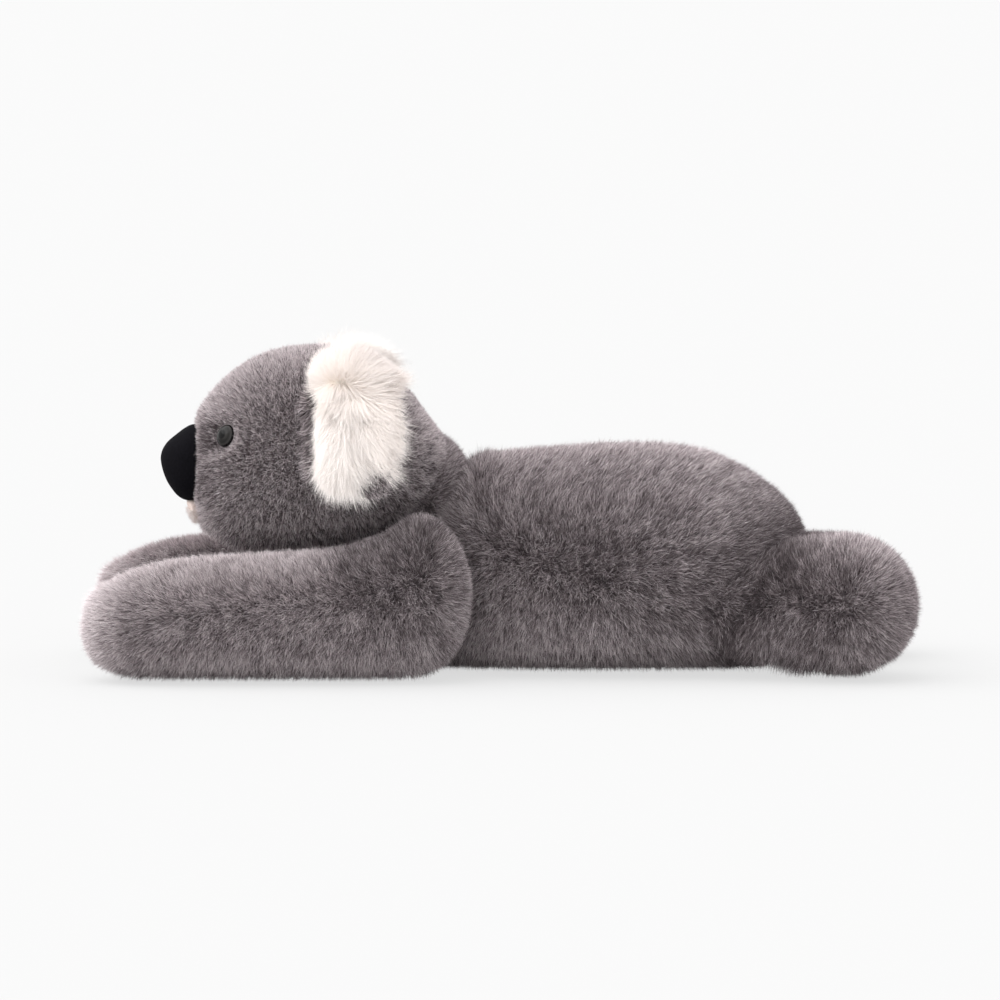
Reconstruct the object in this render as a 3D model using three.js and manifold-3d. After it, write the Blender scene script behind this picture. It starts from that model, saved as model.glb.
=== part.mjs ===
// A plush koala that lies on its belly with its arms stretched forward.
// Millimetres, +Z up, head toward -Y, the toy's left side toward +X.
// Each cover is a plush shell (backing and pile together) round its own stuffing.
// Head, arms, legs and ears turn in pockets that are round about their own joint.

import * as THREE from "three";
import { mergeVertices } from "three/addons/utils/BufferGeometryUtils.js";
import Module from "manifold-3d";

const wasm = await Module();
wasm.setup();

// driving sizes

const CLEARANCE = 0.3; // between pieces that touch
const TURNING_CLEARANCE = 0.15; // between a round root and its pocket, beside the facets
const PLUSH_WALL = 8; // backing and pile
const FLOOR_CUT = 0.5; // how far a soft form is pressed flat by the floor
const FLOOR_SPAN_SHARE = 3; // the floor's width, in toy half lengths

const TOY_HALF_LENGTH = 225;

const BODY_FRONT = -78;
const BODY_REAR = 170;
const BODY_HALF_WIDTH = 75;
const BODY_HEIGHT = 123.3;
const BODY_CROWN_POWER = 2.15;
const BODY_BELLY_POWER = 2.7;

const HEAD_FRONT = -170.8;
const HEAD_REAR = -24;
const HEAD_HALF_WIDTH = 68;
const HEAD_TOP = 176.3;
const HEAD_CROWN_POWER = 2.1;
const HEAD_JOWL_POWER = 2.1;

const NECK_RADIUS = 36;
const NECK_AHEAD = -50;
const NECK_HEIGHT = 96;
const NECK_OPENING_RADIUS = 16;

const ARM_SIDE = 62; // shoulder joint from the middle plane
const ARM_AHEAD = -46;
const ARM_ROOT_RADIUS = 32;
const ARM_ROOT_HALF_HEIGHT = 46.5;
const ARM_HALF_WIDTH = 34;
const ARM_POWER = 2.2;
const ARM_OPENING_RADIUS = 13;

const LEG_SIDE = 44; // hip joint from the middle plane
const LEG_AHEAD = 128;
const LEG_ROOT_RADIUS = 32;
const LEG_ROOT_HEIGHT = 40;
const FOOT_SIDE = 50;
const FOOT_RADIUS = 40;
const RIGHT_FOOT_HALF_HEIGHT = 34.8; // this foot lies flatter, out of sight behind the left one
const LEG_OPENING_RADIUS = 13;
const LEG_SWING_DEGREES = 16; // outward, which its pocket leaves room for

const EAR_SIDE = 60; // middle of the seam that holds the ear
const EAR_AHEAD = -100;
const EAR_BELOW_TOP = 39.3; // middle of its seam under the top of the head
const EAR_HEIGHT = HEAD_TOP - EAR_BELOW_TOP;
const EAR_SPREAD_SHARE = 0.7; // outward per unit of way back
const EAR_TILT_SHARE = -0.3; // outward per unit of way up
const EAR_ROOT_RADIUS = 7.5;
const EAR_ROOT_HALF_LENGTH = 34;
const EAR_BACK_THICKNESS = 7;
const EAR_FRONT_PUFF = 19;

const NOSE_TIP = -183.8;
const NOSE_REAR = -160.5;
const NOSE_HALF_WIDTH = 19;
const NOSE_HALF_HEIGHT = 21.5;
const NOSE_HEIGHT_SHARE = 0.635; // its middle, as a share of the head's top
const NOSE_HEIGHT = HEAD_TOP * NOSE_HEIGHT_SHARE;
const NOSE_POWER = 2.3;

const MOUTH_AHEAD = -166;
const MOUTH_HEIGHT_SHARE = 0.488;
const MOUTH_HEIGHT = HEAD_TOP * MOUTH_HEIGHT_SHARE;
const MOUTH_HALF_WIDTH = 13;
const MOUTH_HALF_HEIGHT = 7.5;
const MOUTH_HALF_DEPTH = 7;

const EYE_RADIUS = 6.3;
const EYE_DOME_HEIGHT = 5;
const EYE_RIM_HEIGHT = 1;
const EYE_SIDE = 44.5;
const EYE_AHEAD = -149;
const EYE_HEIGHT_SHARE = 0.736;
const EYE_HEIGHT = HEAD_TOP * EYE_HEIGHT_SHARE;
const EYE_SUNK = 2.5; // seat of the eye below the tips of the pile
const EYE_HOLLOW_RADIUS = 10.5;
const EYE_SHANK_RADIUS = 2.2;
const EYE_SHANK_LENGTH = 11;
const WASHER_RADIUS = 9;
const WASHER_THICKNESS = 2;
const EYE_FACING_SHARES = [0.78, -0.6, 0.2];

const SKIN_SIDES = 20;
const LINING_SIDES = 14;
const ROUND_SIDES = 24;
const COARSE_SIDES = 12;
const PAD_SIDES = 16;
const SMALL_SIDES = 12;

// form tables

// One row per ring from front to rear: way along, half width, top and underside,
// each as a share of the form's own length, half width or height.
const BODY_SHARES = [
  [0.008, 0.12, 0.25, 0.1],
  [0.03, 0.23, 0.36, 0.03],
  [0.075, 0.31, 0.46, 0],
  [0.125, 0.4, 0.56, 0],
  [0.165, 0.53, 0.67, 0],
  [0.195, 0.61, 0.78, 0],
  [0.22, 0.68, 0.87, 0],
  [0.25, 0.75, 0.935, 0],
  [0.3, 0.83, 0.962, 0],
  [0.4, 0.93, 0.974, 0],
  [0.54, 0.985, 0.998, 0],
  [0.66, 1, 1, 0],
  [0.75, 0.985, 0.977, 0],
  [0.823, 0.935, 0.922, 0],
  [0.88, 0.845, 0.85, 0.005],
  [0.925, 0.715, 0.775, 0.03],
  [0.96, 0.55, 0.7, 0.075],
  [0.985, 0.35, 0.59, 0.15],
];
const BODY_FRONT_TIP_SHARE = 0.17;
const BODY_REAR_TIP_SHARE = 0.35;

const HEAD_SHARES = [
  [0.003, 0.132, 0.709, 0.525],
  [0.011, 0.199, 0.749, 0.497],
  [0.026, 0.272, 0.774, 0.471],
  [0.044, 0.338, 0.792, 0.44],
  [0.07, 0.449, 0.822, 0.414],
  [0.107, 0.603, 0.864, 0.394],
  [0.169, 0.757, 0.913, 0.36],
  [0.264, 0.875, 0.966, 0.343],
  [0.386, 0.97, 0.995, 0.343],
  [0.537, 1, 1, 0.349],
  [0.666, 0.955, 0.961, 0.363],
  [0.775, 0.845, 0.899, 0.391],
  [0.864, 0.69, 0.828, 0.44],
  [0.925, 0.53, 0.76, 0.493],
  [0.973, 0.35, 0.706, 0.556],
  [0.993, 0.19, 0.683, 0.601],
];
const HEAD_FRONT_TIP_SHARE = 0.613;
const HEAD_REAR_TIP_SHARE = 0.647;

// Arm rows run from the paw to the shoulder joint; the root behind it is a spheroid.
const ARM_SHARES = [
  [0.011, 0.3, 0.43, 0.2],
  [0.034, 0.54, 0.5, 0.125],
  [0.067, 0.71, 0.57, 0.06],
  [0.112, 0.83, 0.625, 0.018],
  [0.168, 0.92, 0.67, 0],
  [0.25, 0.98, 0.71, 0],
  [0.36, 1, 0.736, 0],
  [0.5, 1, 0.752, 0],
  [0.65, 1, 0.765, 0],
  [0.8, 0.985, 0.79, 0],
  [0.92, 0.94, 0.87, 0],
];
const ARM_TIP_SHARE = 0.31;
const ARM_ROOT_STEPS = 6;

const NOSE_SHARES = [
  [0.025, 0.3, 0.625, 0.46],
  [0.08, 0.48, 0.69, 0.35],
  [0.16, 0.63, 0.75, 0.245],
  [0.26, 0.75, 0.8, 0.16],
  [0.38, 0.85, 0.85, 0.075],
  [0.52, 0.93, 0.91, 0.02],
  [0.68, 0.98, 0.965, 0],
];
const NOSE_END_SHARES = [1, 1, 1, 0.01];
const NOSE_TIP_SHARE = 0.545;

const LEG_ROOT_STEPS = 4;
const LEG_SHANK_SHARES = [1 / 3, 2 / 3];
const LEG_FOOT_STEPS = 6;
const SWING_SHARES = [0, 1 / 2, 1]; // where a leg is set to clear its way through the rump
const SWING_END_SHARES = [0, 1];

// Soft lobes of the ear's long white pile, in the ear's own frame:
// way back, way up, half width, half height, each a share of the ear's height, and slant.
const EAR_REACH = 88;
const EAR_LOBE_SHARES = [
  [0.34, 0.36, 0.34, 0.19, 0.1],
  [0.24, -0.08, 0.2, 0.37, 0],
  [0.42, 0.06, 0.23, 0.36, 0.15],
];
const EAR_BACK_SHARES = [0.34, 0.03, 0.29, 0.49, 0.05];

// colours

const COLOURS = {
  fur: { color: 0x7d7577, roughness: 0.95 },
  face: { color: 0x857c7e, roughness: 0.95 },
  stuffing: { color: 0xf1efe9, roughness: 1 },
  earWhite: { color: 0xefe8e2, roughness: 0.95 },
  nose: { color: 0x17171a, roughness: 0.85 },
  mouth: { color: 0xd8c6bd, roughness: 0.9 },
  eye: { color: 0x2b2a2c, roughness: 0.12 },
  washer: { color: 0xe6e6e2, roughness: 0.5 },
};

function materialOf(kind) {
  return new THREE.MeshStandardMaterial({ ...COLOURS[kind], metalness: 0 });
}

// solids

function solidOf(geometry) {
  const plain = geometry.clone();
  plain.deleteAttribute("normal");
  plain.deleteAttribute("uv");
  const merged = mergeVertices(plain);
  const corners = merged.index.array;
  const kept = [];
  for (let i = 0; i < corners.length; i += 3) {
    const [a, b, c] = corners.slice(i, i + 3);
    if (a !== b && b !== c && c !== a) kept.push(a, b, c);
  }
  return new wasm.Manifold(
    new wasm.Mesh({
      numProp: 3,
      vertProperties: new Float32Array(merged.attributes.position.array),
      triVerts: new Uint32Array(kept),
    }),
  );
}

function geometryOf(solid) {
  const mesh = solid.getMesh();
  const geometry = new THREE.BufferGeometry();
  const points = new Float32Array(mesh.vertProperties);
  geometry.setAttribute("position", new THREE.BufferAttribute(points, 3));
  geometry.setIndex(new THREE.BufferAttribute(new Uint32Array(mesh.triVerts), 1));
  const flat = geometry.toNonIndexed();
  flat.computeVertexNormals();
  return flat;
}

// The same geometry on the toy's other side.
function mirrored(geometry) {
  const copy = geometry.index ? geometry.toNonIndexed() : geometry.clone();
  copy.deleteAttribute("normal");
  copy.deleteAttribute("uv");
  const points = copy.attributes.position;
  for (let i = 0; i < points.count; i += 3) {
    for (let k = 0; k < 3; k += 1) points.setX(i + k, -points.getX(i + k));
    const held = new THREE.Vector3().fromBufferAttribute(points, i + 1);
    const other = new THREE.Vector3().fromBufferAttribute(points, i + 2);
    points.setXYZ(i + 1, other.x, other.y, other.z);
    points.setXYZ(i + 2, held.x, held.y, held.z);
  }
  return copy;
}

function onSide(geometry, side) {
  return side > 0 ? geometry : mirrored(geometry);
}

function minus(solid, ...cutters) {
  return cutters.reduce((left, cutter) => left.subtract(cutter), solid);
}

// Everything below the floor, which presses the soft forms flat.
function underFloor() {
  const width = TOY_HALF_LENGTH * FLOOR_SPAN_SHARE;
  const block = new THREE.BoxGeometry(width, width, TOY_HALF_LENGTH);
  block.translate(0, 0, -TOY_HALF_LENGTH / 2);
  return solidOf(block);
}

// lofted forms

// A ring has a centre, a half width, a half height and the roundness of its two halves.
function ringPoints(ring, sides) {
  const points = [];
  for (let i = 0; i < sides; i += 1) {
    const angle = (2 * Math.PI * i) / sides;
    const across = Math.cos(angle);
    const up = Math.sin(angle);
    const power = 2 / (up >= 0 ? ring.crownPower : ring.bellyPower);
    const x = ring.x + ring.halfWidth * Math.sign(across) * Math.abs(across) ** power;
    const z = ring.z + ring.halfHeight * Math.sign(up) * Math.abs(up) ** power;
    points.push([x, ring.y, z]);
  }
  return points;
}

// A closed skin over rings that follow each other along Y, with a tip at both ends.
function loft(form, sides = SKIN_SIDES) {
  const count = form.rings.length;
  const skin = form.rings.flatMap((ring) => ringPoints(ring, sides));
  const points = [form.frontTip, ...skin, form.rearTip];
  const corners = [];
  const last = points.length - 1;
  const at = (ring, side) => 1 + ring * sides + (side % sides);
  for (let side = 0; side < sides; side += 1) {
    corners.push(0, at(0, side), at(0, side + 1));
    corners.push(last, at(count - 1, side + 1), at(count - 1, side));
    for (let ring = 0; ring < count - 1; ring += 1) {
      const a = at(ring, side);
      const b = at(ring, side + 1);
      const c = at(ring + 1, side + 1);
      const d = at(ring + 1, side);
      corners.push(a, d, b, b, d, c);
    }
  }
  const geometry = new THREE.BufferGeometry();
  geometry.setAttribute("position", new THREE.Float32BufferAttribute(points.flat(), 3));
  geometry.setIndex(corners);
  return geometry;
}

// The same form with its skin moved inward by a distance, or outward if it is negative.
function inset(form, distance) {
  const widest = Math.max(...form.rings.map((ring) => ring.halfWidth));
  const highest = Math.max(...form.rings.map((ring) => ring.halfHeight));
  const front = form.frontTip[1];
  const length = form.rearTip[1] - front;
  const moved = (y) => front + distance + ((y - front) * (length - 2 * distance)) / length;
  const tip = ([x, y, z]) => [x, moved(y), z];
  return {
    frontTip: tip(form.frontTip),
    rearTip: tip(form.rearTip),
    rings: form.rings.map((ring) => ({
      ...ring,
      y: moved(ring.y),
      halfWidth: ring.halfWidth * (1 - distance / widest),
      halfHeight: ring.halfHeight * (1 - distance / highest),
    })),
  };
}

// The lining of a form, with half as many rings and fewer sides.
function lining(form, depth) {
  const inner = inset(form, depth);
  const rings = inner.rings.filter((ring, index) => index % 2 === 1);
  return loft({ ...inner, rings }, LINING_SIDES);
}

// A form from a table of shares, set between two ends along Y.
function formOf(shares, size) {
  const zAt = (share) => size.bottom + (size.top - size.bottom) * share;
  const rings = shares.map(([along, width, top, under]) => ({
    x: size.x,
    y: size.front + (size.rear - size.front) * along,
    z: (zAt(top) + zAt(under)) / 2,
    halfWidth: size.halfWidth * width,
    halfHeight: (zAt(top) - zAt(under)) / 2,
    crownPower: size.crownPower,
    bellyPower: size.bellyPower,
  }));
  return {
    frontTip: [size.x, size.front, zAt(size.frontTipShare)],
    rearTip: [size.x, size.rear, zAt(size.rearTipShare)],
    rings,
  };
}

function bodyForm() {
  return formOf(BODY_SHARES, {
    x: 0,
    front: BODY_FRONT,
    rear: BODY_REAR,
    halfWidth: BODY_HALF_WIDTH,
    bottom: -FLOOR_CUT,
    top: BODY_HEIGHT,
    crownPower: BODY_CROWN_POWER,
    bellyPower: BODY_BELLY_POWER,
    frontTipShare: BODY_FRONT_TIP_SHARE,
    rearTipShare: BODY_REAR_TIP_SHARE,
  });
}

function headForm() {
  return formOf(HEAD_SHARES, {
    x: 0,
    front: HEAD_FRONT,
    rear: HEAD_REAR,
    halfWidth: HEAD_HALF_WIDTH,
    bottom: 0,
    top: HEAD_TOP,
    crownPower: HEAD_CROWN_POWER,
    bellyPower: HEAD_JOWL_POWER,
    frontTipShare: HEAD_FRONT_TIP_SHARE,
    rearTipShare: HEAD_REAR_TIP_SHARE,
  });
}

// Paw and forearm from the table, then the root as the slices of a spheroid.
function armForm() {
  const form = formOf(ARM_SHARES, {
    x: ARM_SIDE,
    front: -TOY_HALF_LENGTH,
    rear: ARM_AHEAD,
    halfWidth: ARM_HALF_WIDTH,
    bottom: -FLOOR_CUT,
    top: 2 * ARM_ROOT_HALF_HEIGHT - FLOOR_CUT,
    crownPower: ARM_POWER,
    bellyPower: ARM_POWER,
    frontTipShare: ARM_TIP_SHARE,
    rearTipShare: 1 / 2,
  });
  const centreZ = ARM_ROOT_HALF_HEIGHT - FLOOR_CUT;
  for (let step = 0; step < ARM_ROOT_STEPS; step += 1) {
    const angle = (Math.PI / 2) * (step / ARM_ROOT_STEPS);
    form.rings.push({
      x: ARM_SIDE,
      y: ARM_AHEAD + ARM_ROOT_RADIUS * Math.sin(angle),
      z: centreZ,
      halfWidth: ARM_ROOT_RADIUS * Math.cos(angle),
      halfHeight: ARM_ROOT_HALF_HEIGHT * Math.cos(angle),
      crownPower: 2,
      bellyPower: 2,
    });
  }
  form.rearTip = [ARM_SIDE, ARM_AHEAD + ARM_ROOT_RADIUS, centreZ];
  return form;
}

// The leg: slices of a ball round the hip, a swelling shank and a ball for the foot.
function legForm(side) {
  const footHalfHeight = side > 0 ? FOOT_RADIUS : RIGHT_FOOT_HALF_HEIGHT;
  const footY = TOY_HALF_LENGTH - FOOT_RADIUS;
  const footZ = footHalfHeight - FLOOR_CUT;
  const ring = (x, y, z, halfWidth, halfHeight = halfWidth) => ({
    x,
    y,
    z,
    halfWidth,
    halfHeight,
    crownPower: 2,
    bellyPower: 2,
  });
  const rings = [];
  for (let step = 1; step <= LEG_ROOT_STEPS; step += 1) {
    const angle = (Math.PI / 2) * (1 - step / LEG_ROOT_STEPS);
    const y = LEG_AHEAD - LEG_ROOT_RADIUS * Math.sin(angle);
    rings.push(ring(LEG_SIDE, y, LEG_ROOT_HEIGHT, LEG_ROOT_RADIUS * Math.cos(angle)));
  }
  for (const share of LEG_SHANK_SHARES) {
    const swell = share * share * (3 - 2 * share);
    const mixed = (hip, foot) => hip + (foot - hip) * swell;
    const x = mixed(LEG_SIDE, FOOT_SIDE);
    const y = LEG_AHEAD + (footY - LEG_AHEAD) * share;
    const z = mixed(LEG_ROOT_HEIGHT, footZ);
    const halfWidth = mixed(LEG_ROOT_RADIUS, FOOT_RADIUS);
    rings.push(ring(x, y, z, halfWidth, mixed(LEG_ROOT_RADIUS, footHalfHeight)));
  }
  for (let step = 0; step < LEG_FOOT_STEPS; step += 1) {
    const angle = (Math.PI / 2) * (step / LEG_FOOT_STEPS);
    const y = footY + FOOT_RADIUS * Math.sin(angle);
    const narrowed = Math.cos(angle);
    rings.push(ring(FOOT_SIDE, y, footZ, FOOT_RADIUS * narrowed, footHalfHeight * narrowed));
  }
  return {
    frontTip: [LEG_SIDE, LEG_AHEAD - LEG_ROOT_RADIUS, LEG_ROOT_HEIGHT],
    rearTip: [FOOT_SIDE, TOY_HALF_LENGTH, footZ],
    rings,
  };
}

function noseForm() {
  return formOf([...NOSE_SHARES, NOSE_END_SHARES], {
    x: 0,
    front: NOSE_TIP,
    rear: NOSE_REAR,
    halfWidth: NOSE_HALF_WIDTH,
    bottom: NOSE_HEIGHT - NOSE_HALF_HEIGHT,
    top: NOSE_HEIGHT + NOSE_HALF_HEIGHT,
    crownPower: NOSE_POWER,
    bellyPower: NOSE_POWER,
    frontTipShare: NOSE_TIP_SHARE,
    rearTipShare: NOSE_TIP_SHARE,
  });
}

// round seats

// A ball, or a spheroid round an upright axis, with its corners on the surface.
function roundRoot(radius, halfHeight, sides = ROUND_SIDES) {
  const ball = new THREE.SphereGeometry(radius, sides, sides / 2);
  return ball.rotateX(Math.PI / 2).scale(1, 1, halfHeight / radius);
}

// The pocket for such a root: its facets stay outside of the round surface by the clearance.
function roundPocket(radius, halfHeight, clearance, sides = ROUND_SIDES) {
  const out = Math.cos(Math.PI / sides) ** 2;
  const pocket = roundRoot((radius + clearance) / out, (halfHeight + clearance) / out, sides);
  return pocket.rotateZ(Math.PI / sides);
}

function neckBall(radius, sides = ROUND_SIDES) {
  return roundRoot(radius, radius, sides).translate(0, NECK_AHEAD, NECK_HEIGHT);
}

function neckPocket() {
  const pocket = roundPocket(NECK_RADIUS, NECK_RADIUS, TURNING_CLEARANCE);
  return solidOf(pocket.translate(0, NECK_AHEAD, NECK_HEIGHT));
}

function armPocket(side, clearance, sides) {
  const centreZ = ARM_ROOT_HALF_HEIGHT - FLOOR_CUT;
  const pocket = roundPocket(ARM_ROOT_RADIUS, ARM_ROOT_HALF_HEIGHT, clearance, sides);
  return solidOf(onSide(pocket.translate(ARM_SIDE, ARM_AHEAD, centreZ), side));
}

function legPocket(side, clearance, sides) {
  const root = roundPocket(LEG_ROOT_RADIUS, LEG_ROOT_RADIUS, clearance, sides);
  return solidOf(onSide(root.translate(LEG_SIDE, LEG_AHEAD, LEG_ROOT_HEIGHT), side));
}

// The leg itself at rest and swung outward, which clears the rump beside the pocket.
function sweptLeg(side, clearance, swingShares, sides) {
  const hip = [LEG_SIDE, LEG_AHEAD, 0];
  const places = swingShares.map((share) => {
    const leg = loft(inset(legForm(side), -clearance), sides).translate(...hip.map((v) => -v));
    leg.rotateZ(THREE.MathUtils.degToRad(-LEG_SWING_DEGREES * share)).translate(...hip);
    return solidOf(onSide(leg, side));
  });
  return places.reduce((whole, leg) => whole.add(leg));
}

// A straight round hole from one point along a direction.
function roundHole(radius, length, from, direction) {
  const hole = new THREE.CylinderGeometry(radius, radius, length, SMALL_SIDES);
  hole.translate(0, length / 2, 0);
  return placed(hole, from, direction);
}

// Turns a shape that stands on the origin along +Y to point another way from a point.
function placed(geometry, from, direction) {
  const way = new THREE.Vector3(...direction).normalize();
  const turn = new THREE.Quaternion().setFromUnitVectors(new THREE.Vector3(0, 1, 0), way);
  return geometry.applyQuaternion(turn).translate(...from);
}

// eyes

function eyeLathe(profile) {
  const points = profile.map(([radius, height]) => new THREE.Vector2(radius, height));
  return new THREE.LatheGeometry(points, SMALL_SIDES);
}

// Every eye shape stands on the tips of the pile, with +Y out of the head.
function eyeShape() {
  const profile = [
    [0, -EYE_SUNK - EYE_SHANK_LENGTH],
    [EYE_SHANK_RADIUS, -EYE_SUNK - EYE_SHANK_LENGTH],
    [EYE_SHANK_RADIUS, -EYE_SUNK],
    [EYE_RADIUS, -EYE_SUNK],
  ];
  const steps = SMALL_SIDES / 4;
  for (let step = 0; step < steps; step += 1) {
    const angle = (Math.PI / 2) * (step / steps);
    const rise = EYE_RIM_HEIGHT + (EYE_DOME_HEIGHT - EYE_RIM_HEIGHT) * Math.sin(angle);
    profile.push([EYE_RADIUS * Math.cos(angle), rise - EYE_SUNK]);
  }
  profile.push([0, EYE_DOME_HEIGHT - EYE_SUNK]);
  return eyeLathe(profile);
}

function eyeHollow() {
  const floor = -EYE_SUNK - CLEARANCE;
  const slope = (EYE_HOLLOW_RADIUS - EYE_RADIUS) / EYE_SUNK;
  const rise = EYE_DOME_HEIGHT;
  const inner = EYE_RADIUS + CLEARANCE;
  return eyeLathe([
    [0, floor],
    [inner, floor],
    [inner + slope * (rise - floor), rise],
    [0, rise],
  ]);
}

function eyeShankHole() {
  const radius = EYE_SHANK_RADIUS + CLEARANCE;
  const end = -EYE_SUNK - EYE_SHANK_LENGTH - CLEARANCE;
  return eyeLathe([
    [0, end],
    [radius, end],
    [radius, 0],
    [0, 0],
  ]);
}

function washerShape(grow) {
  const inner = EYE_SHANK_RADIUS + CLEARANCE - grow;
  const outer = WASHER_RADIUS + grow;
  const top = -PLUSH_WALL - CLEARANCE + grow;
  const bottom = -PLUSH_WALL - CLEARANCE - WASHER_THICKNESS - grow;
  return eyeLathe([
    [inner, bottom],
    [outer, bottom],
    [outer, top],
    [inner, top],
    [inner, bottom],
  ]);
}

function atEye(geometry, side) {
  const there = placed(geometry, [EYE_SIDE, EYE_AHEAD, EYE_HEIGHT], EYE_FACING_SHARES);
  return solidOf(onSide(there, side));
}

// ears

function earFrame() {
  const back = new THREE.Vector3(EAR_SPREAD_SHARE, 1, 0);
  const up = new THREE.Vector3(EAR_TILT_SHARE, 0, 1);
  const out = new THREE.Vector3().crossVectors(back, up).normalize();
  const frame = new THREE.Matrix4().makeBasis(back, up, out);
  return frame.setPosition(EAR_SIDE, EAR_AHEAD, EAR_HEIGHT);
}

// A round soft pad in the plane of the ear: way back, way up and thickness.
function earPad([back, up, halfWidth, halfHeight, slant], thickness, side) {
  const pad = new THREE.SphereGeometry(1, PAD_SIDES, PAD_SIDES / 2);
  pad.rotateX(Math.PI / 2);
  pad.scale(halfWidth * EAR_REACH, halfHeight * EAR_REACH, thickness);
  pad.rotateZ(slant);
  pad.translate(back * EAR_REACH, up * EAR_REACH, 0);
  return solidOf(onSide(pad.applyMatrix4(earFrame()), side));
}

// The seam bead that the ear folds on, long and thin along the seam.
function atEarSeam(bead, side) {
  const along = new THREE.Vector3(EAR_TILT_SHARE, 0, 1).normalize();
  const turn = new THREE.Quaternion().setFromUnitVectors(new THREE.Vector3(0, 0, 1), along);
  bead.applyQuaternion(turn).translate(EAR_SIDE, EAR_AHEAD, EAR_HEIGHT);
  return solidOf(onSide(bead, side));
}

function earRoot(side) {
  return atEarSeam(roundRoot(EAR_ROOT_RADIUS, EAR_ROOT_HALF_LENGTH, SMALL_SIDES), side);
}

function earPocket(side) {
  const pocket = roundPocket(
    EAR_ROOT_RADIUS,
    EAR_ROOT_HALF_LENGTH,
    TURNING_CLEARANCE,
    SMALL_SIDES,
  );
  return atEarSeam(pocket, side);
}

// The half of space on one face of the ear's plane.
function earSlab(low, high, side) {
  const slab = new THREE.BoxGeometry(2 * EAR_REACH, 2 * EAR_REACH, high - low);
  slab.translate(EAR_REACH / 2, 0, (low + high) / 2);
  return solidOf(onSide(slab.applyMatrix4(earFrame()), side));
}

function earSolids(side) {
  const head = solidOf(loft(inset(headForm(), -CLEARANCE)));
  const pad = earPad(EAR_BACK_SHARES, EAR_BACK_THICKNESS, side);
  const back = minus(pad.intersect(earSlab(-EAR_REACH, 0, side)), head).add(earRoot(side));
  const lobes = EAR_LOBE_SHARES.map((shares) => earPad(shares, EAR_FRONT_PUFF, side));
  const white = lobes.reduce((whole, lobe) => whole.add(lobe));
  const front = minus(
    white.intersect(earSlab(CLEARANCE, EAR_REACH, side)),
    head,
    earPocket(side),
  );
  return { back, front };
}

// mouth

function mouthShape(grow) {
  const pad = new THREE.SphereGeometry(1, SMALL_SIDES, SMALL_SIDES / 2);
  pad.scale(MOUTH_HALF_WIDTH + grow, MOUTH_HALF_DEPTH + grow, MOUTH_HALF_HEIGHT + grow);
  return solidOf(pad.translate(0, MOUTH_AHEAD, MOUTH_HEIGHT));
}

// assembly

const toy = new THREE.Group();
toy.name = "plush_koala";

function addNode(name, solid, kind) {
  const mesh = new THREE.Mesh(geometryOf(solid), materialOf(kind));
  mesh.name = name;
  toy.add(mesh);
}

const SIDES = { left: 1, right: -1 };
const sides = Object.values(SIDES);
const floor = underFloor();

function addBody() {
  const form = bodyForm();
  const outer = minus(
    solidOf(loft(form)),
    floor,
    neckPocket(),
    ...sides.flatMap((side) => [
      armPocket(side, TURNING_CLEARANCE),
      legPocket(side, TURNING_CLEARANCE),
      sweptLeg(side, CLEARANCE, SWING_SHARES),
    ]),
  );
  const hollowAt = (depth) =>
    minus(
      solidOf(lining(form, depth)),
      ...sides.flatMap((side) => [
        armPocket(side, depth, COARSE_SIDES),
        legPocket(side, depth, COARSE_SIDES),
        sweptLeg(side, depth, SWING_END_SHARES, COARSE_SIDES),
      ]),
    );
  const stuffing = hollowAt(PLUSH_WALL + CLEARANCE).subtract(neckPocket());
  addNode("body_cover", outer.subtract(hollowAt(PLUSH_WALL)), "fur");
  addNode("body_stuffing", stuffing, "stuffing");
}

function addNeck() {
  const inside = [0, NECK_AHEAD, NECK_HEIGHT];
  const opening = roundHole(NECK_OPENING_RADIUS, 2 * NECK_RADIUS, inside, [0, 1, -1]);
  const cover = minus(
    solidOf(neckBall(NECK_RADIUS)),
    solidOf(neckBall(NECK_RADIUS - PLUSH_WALL, COARSE_SIDES)),
    solidOf(opening),
  );
  addNode("neck_cover", cover, "fur");
  addNode(
    "neck_stuffing",
    solidOf(neckBall(NECK_RADIUS - PLUSH_WALL - CLEARANCE, COARSE_SIDES)),
    "stuffing",
  );
}

function addHead() {
  const form = headForm();
  const nose = solidOf(loft(noseForm()));
  const noseSeat = solidOf(loft(inset(noseForm(), -CLEARANCE)));
  const outer = solidOf(loft(form));
  const cover = minus(
    outer,
    solidOf(lining(form, PLUSH_WALL)),
    neckPocket(),
    noseSeat,
    mouthShape(CLEARANCE),
    ...sides.flatMap((side) => [
      atEye(eyeHollow(), side),
      atEye(eyeShankHole(), side),
      atEye(washerShape(CLEARANCE), side),
      earPocket(side),
    ]),
  );
  const stuffing = minus(
    solidOf(lining(form, PLUSH_WALL + CLEARANCE)),
    neckPocket(),
    noseSeat,
    mouthShape(CLEARANCE),
    ...sides.flatMap((side) => [
      atEye(eyeShankHole(), side),
      atEye(washerShape(CLEARANCE), side),
      earPocket(side),
    ]),
  );
  addNode("head_cover", cover, "face");
  addNode("head_stuffing", stuffing, "stuffing");
  addNode("nose", nose, "nose");
  addNode("mouth_patch", minus(mouthShape(0).intersect(outer), noseSeat), "mouth");
}

function addEye(name, side) {
  addNode(`eye_${name}`, atEye(eyeShape(), side), "eye");
  addNode(`eye_${name}_washer`, atEye(washerShape(0), side), "washer");
}

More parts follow.
